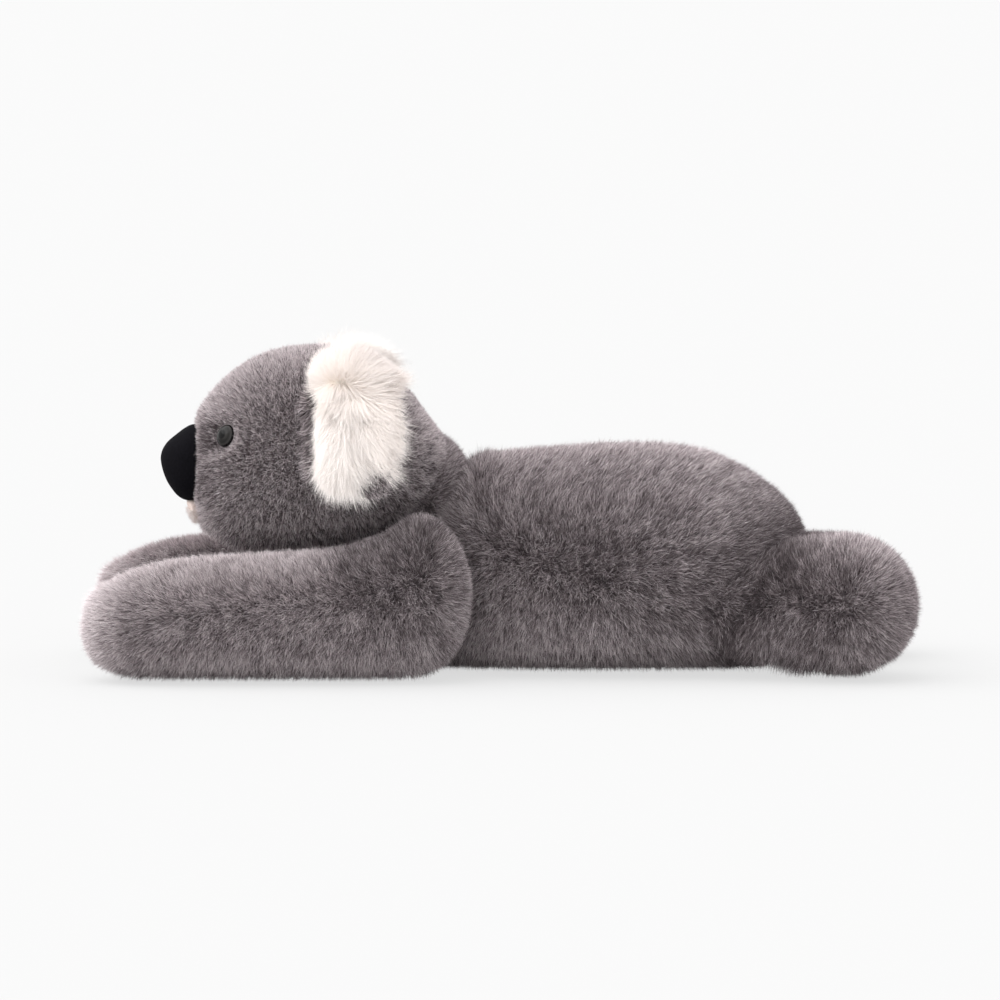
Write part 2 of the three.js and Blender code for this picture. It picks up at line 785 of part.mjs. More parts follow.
function addArm(name, side) {
  const form = armForm();
  const shoulder = [ARM_SIDE, ARM_AHEAD, ARM_ROOT_HALF_HEIGHT];
  const opening = roundHole(ARM_OPENING_RADIUS, 2 * ARM_ROOT_RADIUS, shoulder, [-1, 0, 0]);
  const cover = minus(
    solidOf(onSide(loft(form), side)),
    floor,
    solidOf(onSide(lining(form, PLUSH_WALL), side)),
    solidOf(onSide(opening, side)),
  );
  const stuffing = solidOf(onSide(lining(form, PLUSH_WALL + CLEARANCE), side));
  addNode(`arm_${name}_cover`, cover, "fur");
  addNode(`arm_${name}_stuffing`, stuffing, "stuffing");
}

function addLeg(name, side) {
  const form = legForm(side);
  const hip = [LEG_SIDE, LEG_AHEAD, LEG_ROOT_HEIGHT];
  const opening = roundHole(LEG_OPENING_RADIUS, 2 * LEG_ROOT_RADIUS, hip, [0, -1, 0]);
  const cover = minus(
    solidOf(onSide(loft(form), side)),
    floor,
    solidOf(onSide(lining(form, PLUSH_WALL), side)),
    solidOf(onSide(opening, side)),
  );
  const stuffing = solidOf(onSide(lining(form, PLUSH_WALL + CLEARANCE), side));
  addNode(`leg_${name}_cover`, cover, "fur");
  addNode(`leg_${name}_stuffing`, stuffing, "stuffing");
}

function addEar(name, side) {
  const { back, front } = earSolids(side);
  addNode(`ear_${name}_back`, back, "fur");
  addNode(`ear_${name}_front`, front, "earWhite");
}

addBody();
addNeck();
addHead();
for (const [name, side] of Object.entries(SIDES)) {
  addEye(name, side);
  addArm(name, side);
  addLeg(name, side);
  addEar(name, side);
}

export default toy;
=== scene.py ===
import math
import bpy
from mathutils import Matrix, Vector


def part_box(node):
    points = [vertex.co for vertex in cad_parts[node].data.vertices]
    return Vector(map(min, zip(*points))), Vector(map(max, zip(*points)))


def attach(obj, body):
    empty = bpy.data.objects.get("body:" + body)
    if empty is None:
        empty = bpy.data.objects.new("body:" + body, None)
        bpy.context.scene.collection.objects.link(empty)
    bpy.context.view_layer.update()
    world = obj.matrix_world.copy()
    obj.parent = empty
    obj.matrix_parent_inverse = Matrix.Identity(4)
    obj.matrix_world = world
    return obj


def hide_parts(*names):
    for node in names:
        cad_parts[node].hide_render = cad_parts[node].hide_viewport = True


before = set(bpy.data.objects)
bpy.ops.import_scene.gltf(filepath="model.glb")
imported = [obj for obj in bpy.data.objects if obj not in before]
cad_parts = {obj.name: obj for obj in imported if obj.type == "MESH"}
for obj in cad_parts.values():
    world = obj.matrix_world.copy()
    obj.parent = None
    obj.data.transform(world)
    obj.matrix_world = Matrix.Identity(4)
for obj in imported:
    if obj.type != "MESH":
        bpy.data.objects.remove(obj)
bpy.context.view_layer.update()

from types import SimpleNamespace

import bmesh
import bpy
import numpy as np
from mathutils import Matrix, Vector
from mathutils.bvhtree import BVHTree

MM = 0.001
SIDES = {"left": 1, "right": -1}

# camera, which looks at the toy's left side from a little above

PHOTO_WIDTH_PX = 1000
PHOTO_MIDDLE_PX = PHOTO_WIDTH_PX / 2
MM_PER_PX = 0.5415  # on the toy's middle plane
LENS_MM = 234
SENSOR_MM = 36
CAMERA_ELEVATION = math.radians(5.5)
AIM = Vector((0, 0, 91 * MM))  # what the middle of the photo shows
CAMERA_BACK = Vector((math.cos(CAMERA_ELEVATION), 0, math.sin(CAMERA_ELEVATION)))
CAMERA_UP = CAMERA_BACK.cross(Vector((0, 1, 0)))
CAMERA_AT = AIM + CAMERA_BACK * (PHOTO_WIDTH_PX * MM_PER_PX * MM * LENS_MM / SENSOR_MM)
CAMERA_CLIP_END = 100

# small values that all pieces share

PILE_DEPTH = 4.8 * MM  # how far the backing lies below the CAD form
FLOOR_GAP = 0.2 * MM  # no strand reaches lower
FIELD_WAVES = 7  # that a smooth random field is made of
SMALLEST = 1e-9  # keeps a division from failing
FAR_OUTSIDE = -1.0  # stands for the depth of points that lie nowhere near a form


# mesh helpers


def link(name, mesh):
    """A new object in the scene."""
    piece = bpy.data.objects.new(name, mesh)
    bpy.context.scene.collection.objects.link(piece)
    return piece


def settle(piece):
    """Applies the piece's modifiers to its mesh."""
    ready = piece.evaluated_get(bpy.context.evaluated_depsgraph_get())
    mesh = bpy.data.meshes.new_from_object(ready)
    piece.modifiers.clear()
    old = piece.data
    piece.data = mesh
    bpy.data.meshes.remove(old)
    mesh.name = piece.name
    return piece


def points_of(mesh):
    found = np.empty(len(mesh.vertices) * 3, np.float32)
    mesh.vertices.foreach_get("co", found)
    return found.reshape(-1, 3).astype(float)


def normals_of(mesh):
    found = np.empty(len(mesh.vertices) * 3, np.float32)
    mesh.vertex_normals.foreach_get("vector", found)
    return found.reshape(-1, 3).astype(float)


def place(mesh, points):
    """Moves a mesh's vertices to new points."""
    mesh.vertices.foreach_set("co", points.astype(np.float32).ravel())
    mesh.update()


def unit(vectors):
    return vectors / np.maximum(np.linalg.norm(vectors, axis=1, keepdims=True), SMALLEST)


def along(vectors, others):
    """The dot product of each pair of rows, as a column."""
    return np.sum(vectors * others, axis=1, keepdims=True)


def smoothstep(low, high, values):
    """0 up to low, 1 from high on, and an even curve between them."""
    t = np.clip((values - low) / (high - low), 0, 1)
    return t * t * (3 - 2 * t)


def ripple(points, size, seed):
    """A smooth random field, mostly from -1 to 1, with bumps about as wide as size."""
    rng = np.random.default_rng(seed)
    waves = rng.normal(size=(FIELD_WAVES, 3)) * math.pi / size
    phases = rng.uniform(0, 2 * math.pi, FIELD_WAVES)
    return np.sin(points @ waves.T + phases).sum(1) / math.sqrt(FIELD_WAVES)


def hull_of(name, node):
    """The convex hull of a CAD node."""
    bm = bmesh.new()
    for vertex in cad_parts[node].data.vertices:
        bm.verts.new(vertex.co)
    hull = bmesh.ops.convex_hull(bm, input=bm.verts)
    inner = [part for part in hull["geom_interior"] if isinstance(part, bmesh.types.BMVert)]
    bmesh.ops.delete(bm, geom=inner, context="VERTS")
    mesh = bpy.data.meshes.new(name)
    bm.to_mesh(mesh)
    bm.free()
    return mesh


def add_smoothing(piece, relax):
    soft = piece.modifiers.new("soft", "SMOOTH")
    soft.iterations = relax


def sink_skin(piece, depth):
    """Moves a skin inward along its normals."""
    place(piece.data, points_of(piece.data) - normals_of(piece.data) * depth)


def skin_of(name, mesh, depth, voxel=4 * MM, relax=10):
    """A smooth closed form inside a mesh's surface, at a depth below it."""
    piece = link(name, mesh)
    even = piece.modifiers.new("even", "REMESH")
    even.mode = "VOXEL"
    even.voxel_size = voxel
    add_smoothing(piece, relax)
    settle(piece)
    sink_skin(piece, depth)
    for polygon in piece.data.polygons:
        polygon.use_smooth = True
    return piece


def hull_skin(name, node, depth, voxel=4 * MM, relax=10, sink=0):
    """The skin of a CAD node's hull. It follows the node's hollows as far as sink."""
    piece = skin_of(name, hull_of(name, node), 0 if sink else depth, voxel, relax)
    if sink:
        sink_to(piece, form_of(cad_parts[node]).tree, sink)
        add_smoothing(piece, relax)
        settle(piece)
        sink_skin(piece, depth)
    return piece


def sink_to(piece, tree, sink):
    """Moves each point of a skin inward onto another form, where that lies within reach."""
    points, normals = points_of(piece.data), normals_of(piece.data)
    for i, (point, normal) in enumerate(zip(points, normals)):
        hit = tree.ray_cast(point + normal * sink, -normal, 2 * sink)[0]
        if hit:
            points[i] = hit
    place(piece.data, points)


def form_of(piece):
    """What depth_in needs to know about a closed form."""
    mesh = piece.data
    mesh.calc_loop_triangles()
    corners = [tuple(triangle.vertices) for triangle in mesh.loop_triangles]
    points = points_of(mesh)
    tree = BVHTree.FromPolygons([tuple(point) for point in points], corners)
    return SimpleNamespace(tree=tree, low=points.min(0), high=points.max(0))


def depth_in(points, form, margin=0):
    """How deep each point lies inside a closed form, negative up to a margin outside of it."""
    found = np.full(len(points), FAR_OUTSIDE)
    near = np.all((points > form.low - margin) & (points < form.high + margin), axis=1)
    for i in np.flatnonzero(near):
        nearest, normal, _, gap = form.tree.find_nearest(points[i])
        outward = (Vector(points[i]) - nearest).dot(normal)
        found[i] = -gap if outward > 0 else gap
    return found


def sample(piece, density, rng):
    """Evenly spread random points on a mesh with their normals."""
    mesh = piece.data
    mesh.calc_loop_triangles()
    corners = np.empty(len(mesh.loop_triangles) * 3, np.int32)
    mesh.loop_triangles.foreach_get("vertices", corners)
    corners = corners.reshape(-1, 3)
    points, normals = points_of(mesh), normals_of(mesh)
    a, b, c = (points[corners[:, k]] for k in range(3))
    area = np.linalg.norm(np.cross(b - a, c - a), axis=1) / 2
    total = np.cumsum(area)
    count = int(total[-1] / MM ** 2 * density)
    at = (np.arange(count) + rng.uniform(size=count)) / count * total[-1]
    chosen = np.searchsorted(total, at).clip(0, len(area) - 1)
    u, v = rng.uniform(size=(2, count, 1))
    flip = (u + v) > 1
    u, v = np.where(flip, 1 - u, u), np.where(flip, 1 - v, v)
    mix = [1 - u - v, u, v]
    spots = sum(m * points[corners[chosen, k]] for k, m in enumerate(mix))
    faced = sum(m * normals[corners[chosen, k]] for k, m in enumerate(mix))
    return spots, unit(faced)


# fur

PILE_MAP = "OFBake"  # u runs from root to tip, v is the strand's own shade
MAP_MARGIN = 0.02  # what u leaves free at both ends
MAP_HALF_WIDTH = 0.004  # of a strand along v
SHADE_LIMITS = (0.01, 0.99)

LEAN_STRAY_SHARE = 0.7  # how much of the stray goes into the lean
LENGTH_SPREAD = 0.16  # from strand to strand, as a share
LENGTH_LIMITS = (0.55, 1.4)
WIDTH_SPREAD = 0.2
WIDTH_LIMITS = (0.5, 1.5)
TIP_WIDTH_SHARE = 0.55  # at the last pair of corners, before the tip itself
CLUMP_SEED = 11
PATCH_SEED = 5
PATCH_SIZE = 2.2  # of the paler and darker places, in clumps


def pile(**values):
    """How a patch of fur grows, in metres and degrees.

    density: strands per square millimetre. lean: how far they lie over. bend: how much further the
    last row does. stray: how unevenly. least and most: limits of how strongly the flow acts. roll:
    how unevenly they turn on their own length. rows: parts of a strand. clump and curl: size and
    strength of the tufts. shade: place in the colour ramp. spread and patchy: how it varies from
    strand to strand and from place to place.
    """
    usual = dict(
        density=5, length=5.4 * MM, width=0.38 * MM, lean=47, bend=0, stray=18, least=0.35,
        most=1.1, roll=36, rows=1, clump=4 * MM, curl=0.3, shade=0.48, spread=0.33, patchy=0.1,
    )
    return SimpleNamespace(**{**usual, **values})


def strand_faces(count, steps):
    """Corners and sizes of the faces of flat strands that have steps pairs of points and a tip."""
    base = (np.arange(count) * (2 * steps + 1))[:, None]
    loops, sizes = [], []
    for step in range(steps - 1):
        loops.append(base + np.array([step, steps + step, steps + step + 1, step + 1]))
        sizes.append(4)
    loops.append(base + np.array([steps - 1, 2 * steps - 1, 2 * steps]))
    sizes.append(3)
    return np.concatenate(loops, axis=1).ravel(), np.tile(sizes, count)


def strand_map(steps, shades):
    """Places in the pile map for every point of the strands."""
    reach = np.concatenate([np.arange(steps), np.arange(steps), [steps]]) / steps
    place_u = np.tile(MAP_MARGIN + (1 - 2 * MAP_MARGIN) * reach, len(shades))
    offset = np.concatenate([np.full(steps, -1.0), np.ones(steps), [0.0]]) * MAP_HALF_WIDTH
    place_v = (shades[:, None].clip(*SHADE_LIMITS) + offset[None, :]).ravel()
    return np.stack([place_u, place_v], 1)


def strand_mesh(name, rows, tips, across, widths, shades):
    """One mesh of flat strands. rows are (count, steps, 3) points that each get two corners."""
    count, steps = rows.shape[:2]
    half = across[:, None, :] * widths[:, :, None] / 2
    left, right = rows - half, rows + half
    points = np.concatenate([left, right, tips[:, None, :]], axis=1).reshape(-1, 3)
    points[:, 2] = np.maximum(points[:, 2], FLOOR_GAP)
    corners, totals = strand_faces(count, steps)
    starts = np.concatenate([[0], np.cumsum(totals)[:-1]])
    mesh = bpy.data.meshes.new(name)
    mesh.vertices.add(len(points))
    mesh.loops.add(len(corners))
    mesh.polygons.add(len(totals))
    mesh.vertices.foreach_set("co", points.astype(np.float32).ravel())
    mesh.loops.foreach_set("vertex_index", corners.astype(np.int32))
    mesh.polygons.foreach_set("loop_start", starts.astype(np.int32))
    mesh.polygons.foreach_set("loop_total", totals.astype(np.int32))
    mesh.polygons.foreach_set("use_smooth", np.ones(len(totals), bool))
    mesh.update(calc_edges=True)
    layer = mesh.uv_layers.new(name=PILE_MAP)
    places = strand_map(steps, shades)[corners]
    layer.uv.foreach_set("vector", places.astype(np.float32).ravel())
    return mesh


def varied(rng, count, spread, limits):
    """A column of random shares round 1."""
    return (1 + rng.normal(size=(count, 1)) * spread).clip(*limits)


def grow(name, roots, normals, flow, look, rng, scale, shade):
    """A piece of fur: strands that leave the roots along the normal, lean with the flow and bend.

    scale and shade are each strand's own length as a share and what is added to its shade.
    """
    count = len(roots)
    clump = np.stack([ripple(roots, look.clump, k + CLUMP_SEED) for k in range(3)], 1) * look.curl
    stray = rng.normal(size=(count, 3)) * math.tan(math.radians(look.stray))
    comb = flow + clump + stray
    comb -= along(comb, normals) * normals
    pull = np.linalg.norm(comb, axis=1, keepdims=True).clip(look.least, look.most)
    comb = unit(comb)
    uneven = rng.normal(size=(count, 1)) * look.stray * LEAN_STRAY_SHARE
    lean = np.radians(look.lean * pull + uneven)
    over = lean + np.radians(look.bend * pull)
    length = look.length * varied(rng, count, LENGTH_SPREAD, LENGTH_LIMITS) * scale[:, None]
    steps = look.rows
    turns = [lean + (over - lean) * k / max(steps - 1, 1) for k in range(steps)]
    ways = [normals * np.cos(turn) + comb * np.sin(turn) for turn in turns]
    spots = [roots]
    for way in ways:
        spots.append(spots[-1] + way * length / steps)
    level = unit(np.cross(ways[0], normals))
    upright = np.cross(level, ways[0])
    roll = np.radians(rng.normal(size=(count, 1)) * look.roll)
    across = level * np.cos(roll) + upright * np.sin(roll)
    taper = np.linspace(1, TIP_WIDTH_SHARE, steps)[None, :]
    widths = look.width * taper * varied(rng, count, WIDTH_SPREAD, WIDTH_LIMITS)
    shades = look.shade + rng.normal(size=count) * look.spread
    shades += ripple(roots, PATCH_SIZE * look.clump, PATCH_SEED) * look.patchy
    shades += shade
    rows = np.stack(spots[:-1], axis=1)
    mesh = strand_mesh(name, rows, spots[-1], across, widths, shades.clip(0, 1))
    return link(name, mesh)


# material helpers

# The colour sockets of a Mix node, which share their names with other kinds.
MIX_A = 6
MIX_B = 7
MIX_RESULT = 2


def new_material(name):
    material = bpy.data.materials.new(name)
    material.use_nodes = True
    tree = material.node_tree
    return material, tree, tree.nodes["Principled BSDF"]


def ramp(tree, stops, value):
    """Colours over a value from 0 to 1."""
    node = tree.nodes.new("ShaderNodeValToRGB")
    band = node.color_ramp
    for element, (position, colour) in zip(band.elements, (stops[0], stops[-1])):
        element.position = position
        element.color = (*colour, 1)
    for position, colour in stops[1:-1]:
        band.elements.new(position).color = (*colour, 1)
    tree.links.new(value, node.inputs["Fac"])
    return node.outputs["Color"]


def product(tree, first, second):
    """Two colours multiplied."""
    mix = tree.nodes.new("ShaderNodeMix")
    mix.data_type = "RGBA"
    mix.blend_type = "MULTIPLY"
    mix.inputs["Factor"].default_value = 1
    tree.links.new(first, mix.inputs[MIX_A])
    tree.links.new(second, mix.inputs[MIX_B])
    return mix.outputs[MIX_RESULT]


def pile_map(tree):
    """u and v of the pile map."""
    where = tree.nodes.new("ShaderNodeUVMap")
    where.uv_map = PILE_MAP
    split = tree.nodes.new("ShaderNodeSeparateXYZ")
    tree.links.new(where.outputs["UV"], split.inputs["Vector"])
    return split.outputs["X"], split.outputs["Y"]


def noise_of(tree, size, detail):
    """Noise that lies fixed in the piece."""
    where = tree.nodes.new("ShaderNodeTexCoord")
    noise = tree.nodes.new("ShaderNodeTexNoise")
    noise.inputs["Scale"].default_value = 1 / size
    noise.inputs["Detail"].default_value = detail
    tree.links.new(where.outputs["Object"], noise.inputs["Vector"])
    return noise.outputs["Fac"]


def vary_roughness(tree, surface, noise, low, high):
    rough = tree.nodes.new("ShaderNodeMapRange")
    rough.inputs["To Min"].default_value = low
    rough.inputs["To Max"].default_value = high
    tree.links.new(noise, rough.inputs["Value"])
    tree.links.new(rough.outputs["Result"], surface.inputs["Roughness"])


# materials

FUR_ROUGHNESS = 0.8
FUR_SHINE = 0.2
CLOTH_TONES = (0.3, 0.7)  # the noise is dark below the first and light above the second
CLOTH_DETAIL = 4
CLOTH_ROUGHNESS = (0.82, 0.98)
CLOTH_BUMP = 0.3
PLASTIC_TONES = (0.35, 0.65)
PLASTIC_DETAIL = 5
PLASTIC_ROUGHNESS = (0.35, 0.55)
EYE_ROUGHNESS = 0.12
EYE_SHINE = 0.14


def fur_material(name, shades, reach):
    """Strand colour from the pile map: its shade along v, darker toward the root along u."""
    material, tree, surface = new_material(name)
    along_strand, own_shade = pile_map(tree)
    # On the grey fur the darker roots are painted shade deep in the pile.
    colour = product(tree, ramp(tree, shades, own_shade), ramp(tree, reach, along_strand))
    tree.links.new(colour, surface.inputs["Base Color"])
    surface.inputs["Roughness"].default_value = FUR_ROUGHNESS
    surface.inputs["Specular IOR Level"].default_value = FUR_SHINE
    return material


def cloth_material(name, dark, light, grain, shine=0.15):
    """A short nap or knitted backing: fine noise in colour, roughness and height."""
    material, tree, surface = new_material(name)
    noise = noise_of(tree, grain, CLOTH_DETAIL)
    colour = ramp(tree, list(zip(CLOTH_TONES, (dark, light))), noise)
    lift = tree.nodes.new("ShaderNodeBump")
    lift.inputs["Strength"].default_value = CLOTH_BUMP
    lift.inputs["Distance"].default_value = grain / 2
    tree.links.new(noise, lift.inputs["Height"])
    tree.links.new(colour, surface.inputs["Base Color"])
    tree.links.new(lift.outputs["Normal"], surface.inputs["Normal"])
    vary_roughness(tree, surface, noise, *CLOTH_ROUGHNESS)
    surface.inputs["Specular IOR Level"].default_value = shine
    return material


def plastic_material(name, dark, light, mottle):
    """Moulded plastic with a faint mottle in colour and roughness."""
    material, tree, surface = new_material(name)
    noise = noise_of(tree, mottle, PLASTIC_DETAIL)
    colour = ramp(tree, list(zip(PLASTIC_TONES, (dark, light))), noise)
    tree.links.new(colour, surface.inputs["Base Color"])
    vary_roughness(tree, surface, noise, *PLASTIC_ROUGHNESS)
    return material


def eye_material(name, rings, turn):
    """A dark glossy eye: rings from the middle to the rim, and a tone that changes round it."""
    material, tree, surface = new_material(name)
    outward, round_it = pile_map(tree)
    colour = product(tree, ramp(tree, rings, outward), ramp(tree, turn, round_it))
    tree.links.new(colour, surface.inputs["Base Color"])
    surface.inputs["Roughness"].default_value = EYE_ROUGHNESS
    surface.inputs["Specular IOR Level"].default_value = EYE_SHINE
    return material


# Shades: the colours that strands have. Reach: what these are multiplied by from root to tip.
GREY_SHADES = [
    (0.0, (0.12, 0.098, 0.103)),
    (0.25, (0.26, 0.222, 0.23)),
    (0.5, (0.445, 0.386, 0.4)),
    (0.75, (0.69, 0.605, 0.623)),
    (1.0, (0.95, 0.87, 0.885)),
]
# The grey reach darkens the roots: painted shade deep in the pile.
GREY_REACH = [(0.0, (0.2, 0.19, 0.19)), (0.5, (0.66, 0.65, 0.65)), (1.0, (1, 1, 1))]
WHITE_SHADES = [
    (0.0, (0.77, 0.715, 0.705)),
    (0.4, (0.96, 0.905, 0.873)),
    (1.0, (0.985, 0.945, 0.922)),
]
WHITE_REACH = [(0.0, (0.98, 0.94, 0.885)), (0.4, (0.99, 0.975, 0.96)), (1.0, (1, 1, 1))]
# Black pupil, smoky iris and a thin paler line at its rim.
EYE_RINGS = [
    (0.0, (0.002, 0.002, 0.002)),
    (0.22, (0.002, 0.002, 0.002)),
    (0.3, (0.028, 0.026, 0.025)),
    (0.5, (0.018, 0.017, 0.016)),
    (0.68, (0.05, 0.046, 0.045)),
    (0.74, (0.006, 0.006, 0.006)),
    (1.0, (0.002, 0.002, 0.002)),
]
# Two sides of the eye are darker.
EYE_TURN = [
    (0.0, (0.45, 0.45, 0.45)),
    (0.25, (1, 1, 1)),
    (0.5, (0.45, 0.45, 0.45)),
    (0.75, (1, 1, 1)),
    (1.0, (0.45, 0.45, 0.45)),
]

GREY_FUR = fur_material("grey_fur", GREY_SHADES, GREY_REACH)
WHITE_FUR = fur_material("white_fur", WHITE_SHADES, WHITE_REACH)
# The grey backing: the cover's own grey, made darker as painted shade deep among the roots. The
# ears' grey pads share it.
GREY_BACKING = cloth_material("grey_backing", (0.10, 0.086, 0.09), (0.18, 0.155, 0.16), 1.2 * MM)
WHITE_BACKING = cloth_material("white_backing", (0.88, 0.82, 0.72), (0.95, 0.92, 0.86), 1.2 * MM)
BLACK_VELOUR = cloth_material(
    "black_velour", (0.0022, 0.0021, 0.0026), (0.0075, 0.007, 0.0095), 0.5 * MM, shine=0.05
)
CREAM_VELOUR = cloth_material("cream_velour", (0.6, 0.48, 0.44), (0.78, 0.66, 0.61), 0.6 * MM)
FIBRE = cloth_material("stuffing_fibre", (0.7, 0.69, 0.66), (0.9, 0.89, 0.86), 3 * MM)
EYE_PLASTIC = eye_material("eye_plastic", EYE_RINGS, EYE_TURN)
WASHER_PLASTIC = plastic_material("washer_plastic", (0.72, 0.71, 0.68), (0.8, 0.79, 0.76), 3 * MM)


def dress(piece, material, body):
    """Gives a piece its material and its body."""
    piece.data.materials.clear()
    piece.data.materials.append(material)
    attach(piece, body)
    return piece


# places in the photo, as columns and rows


def spot(pixel, side):
    """The point that the photo shows at a pixel, at a distance from the toy's middle plane."""
    slope = SENSOR_MM / LENS_MM / PHOTO_WIDTH_PX
    ray = -CAMERA_BACK + Vector((0, pixel[0] - PHOTO_MIDDLE_PX, 0)) * slope
    ray += CAMERA_UP * (PHOTO_MIDDLE_PX - pixel[1]) * slope
    return CAMERA_AT + ray * ((side - CAMERA_AT.x) / ray.x)


def seen_at(points):
    """The columns and rows of the photo at which points on the toy's left side are seen."""
    scale = PHOTO_WIDTH_PX * LENS_MM / SENSOR_MM
    rays = points - np.array(CAMERA_AT)
    away = -rays @ np.array(CAMERA_BACK)
    columns = PHOTO_MIDDLE_PX + rays[:, 1] / away * scale
    rows = PHOTO_MIDDLE_PX - rays @ np.array(CAMERA_UP) / away * scale
    return columns, rows


def folded(points):
    """Points of the right side moved over to the left."""
    return np.concatenate([np.abs(points[:, :1]), points[:, 1:]], axis=1)


def gap_to(x, y, path):
    """The distance in the photo from each pixel to a path of straight lines."""
    spots, found = np.stack([x, y], 1), np.full(len(x), np.inf)
    for start, end in zip(path[:-1], path[1:]):
        start, way = np.array(start, float), np.subtract(end, start)
        t = ((spots - start) @ way / (way @ way)).clip(0, 1)
        found = np.minimum(found, np.linalg.norm(spots - start - t[:, None] * way, axis=1))
    return found


def shade_at(points, tones):
    """What changes from place to place: each tone is a path in the photo, its reach and value."""
    x, y = seen_at(folded(points))
    found = np.zeros(len(points))
    for path, reach, value in tones:
        found += value * (1 - smoothstep(0, reach, gap_to(x, y, path)))
    return found


def line_on(node, pixels, share=0.95):
    """A line from its two pixels in the photo, at a share of a CAD node's reach to the left."""
    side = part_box(node)[1][0] * share
    return [spot(pixel, side) for pixel in pixels]


# flow of the pile, which is mirrored on the right side

# On each cover it flows away from a source, a line that is given by its two ends in the photo.
BACK = np.array([0.0, 1.0, 0.0])
PARTING = 18 * MM  # how far from its source the pile lies down
BODY_SOURCE = line_on("body_cover", ((465, 535), (600, 588)))
BODY_TOP = (0.55, 0.95)  # between these rises of the surface the pile turns rearward
BODY_DRIFT = 0.25  # how much it runs rearward on the sides
ARM_SOURCE = line_on("arm_left_cover", ((432, 580), (180, 614)))
FOREARM_RUN = 60 * MM  # over which the pile turns toward the paw
FOREARM_DRIFT = 0.55  # how strongly it does
LEG_SOURCE = line_on("leg_left_cover", ((772, 600), (838, 604)))
LEG_CREASE_PX = ((530, 800), (555, 780), (580, 760), (600, 750), (620, 740), (660, 715))
LEG_CREASE_HALF_PX = 10  # half the width over which the flow changes there
FACE_SOURCE = line_on("head_cover", ((215, 455), (250, 455)), share=0.8)
FACE_SPREAD = 0.6  # how strongly the pile of the face flows away from its source
FACE_DRIFT = 0.2  # and rearward


def flow_from(points, normals, start, end):
    """Directions away from a line on the toy's side, from start to end."""
    left = folded(points)
    start, end = np.array(start), np.array(end)
    t = ((left - start) @ (end - start) / ((end - start) @ (end - start))).clip(0, 1)
    away = left - (start + t[:, None] * (end - start))
    away[:, :1] *= np.where(points[:, :1] < 0, -1.0, 1.0)
    away -= along(away, normals) * normals
    return away / (np.linalg.norm(away, axis=1, keepdims=True) + PARTING)


def body_flow(points, normals):
    """Away from a line on the flank, and rearward on the back."""
    away = flow_from(points, normals, *BODY_SOURCE)
    top = smoothstep(*BODY_TOP, normals[:, 2:3])
    return away * (1 - top) + BACK * (BODY_DRIFT + top)


def arm_flow(points, normals):
    """Away from a line along the arm, and on the forearm toward the paw as well."""
    elbow = ARM_SOURCE[0].y
    forearm = smoothstep(elbow, elbow - FOREARM_RUN, points[:, 1:2])
    return flow_from(points, normals, *ARM_SOURCE) - BACK * FOREARM_DRIFT * forearm


def leg_flow(points, normals):
    """Away from a line on the foot; ahead of the leg's crease it runs on from the rump's pile.

    The crease is a table of rows and the columns where it lies.
    """
    x, y = seen_at(folded(points))
    behind = x - np.interp(y, *zip(*LEG_CREASE_PX))
    foot = smoothstep(-LEG_CREASE_HALF_PX, LEG_CREASE_HALF_PX, behind)[:, None]
    return flow_from(points, normals, *LEG_SOURCE) * foot + body_flow(points, normals) * (1 - foot)


def head_flow(points, normals):
    """Away from the bridge of the nose, and a little rearward."""
    return FACE_SPREAD * flow_from(points, normals, *FACE_SOURCE) + BACK * FACE_DRIFT


# covers and stuffing

FILLING_DEPTH = 1.5 * MM
LUMP_SIZE = 14 * MM
LUMP_HEIGHT = 0.8 * MM
LUMP_SEED = 3
LIMB_SINK = 12 * MM  # how far a limb's skin follows the hollows of its node


def filling(name, node, body, sink=0):
    """The lumpy fibre inside a cover, which only shows once the cover is off."""
    piece = hull_skin(name, node, FILLING_DEPTH, voxel=6 * MM, relax=3, sink=sink)
    mesh = piece.data
    points = points_of(mesh)
    lumps = ripple(points, LUMP_SIZE, LUMP_SEED)[:, None] * LUMP_HEIGHT
    place(mesh, points + normals_of(mesh) * lumps)
    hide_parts(node)
    return dress(piece, FIBRE, body)


def cover(name, node, body, depth=PILE_DEPTH, sink=0):
    """The backing of a plush cover, which the pile grows on."""
    piece = hull_skin(name, node, depth, sink=sink)
    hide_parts(node)
    return dress(piece, GREY_BACKING, body)


body_skin = cover("body_skin", "body_cover", "body")
head_skin = cover("head_skin", "head_cover", "head", depth=3.6 * MM)
neck_skin = cover("neck_skin", "neck_cover", "neck", depth=3 * MM)
for trunk in ("body", "head", "neck"):
    filling(f"{trunk}_filling", f"{trunk}_stuffing", trunk)
body_form, head_form = form_of(body_skin), form_of(head_skin)
limb_skins = {}
for side_name in SIDES:
    for limb in ("arm", "leg"):
        limb_body = f"{limb}_{side_name}"
        limb_skins[limb_body] = cover(
            f"{limb_body}_skin", f"{limb_body}_cover", limb_body, sink=LIMB_SINK
        )
        filling(f"{limb_body}_filling", f"{limb_body}_stuffing", limb_body, sink=LIMB_SINK)

# eyes, nose and mouth

EYE_STEPS = 12
EYE_TURNS = 32
EYE_HEIGHT_SHARE = 0.62
EYE_MERGE = 0.001 * MM


def middle_of(node):
    low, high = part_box(node)
    return (Vector(low) + Vector(high)) / 2


def eye_ring(bm, radius, step, turn, middle):
    """One ring of the dome's points, from its top down."""
    angle = math.pi / 2 * step / EYE_STEPS
    out, up = radius * math.sin(angle), radius * EYE_HEIGHT_SHARE * math.cos(angle)
    angles = [2 * math.pi * k / EYE_TURNS for k in range(EYE_TURNS)]
    spots = [(out * math.cos(a), out * math.sin(a), up) for a in angles]
    return [bm.verts.new(middle + turn @ Vector(point)) for point in spots]


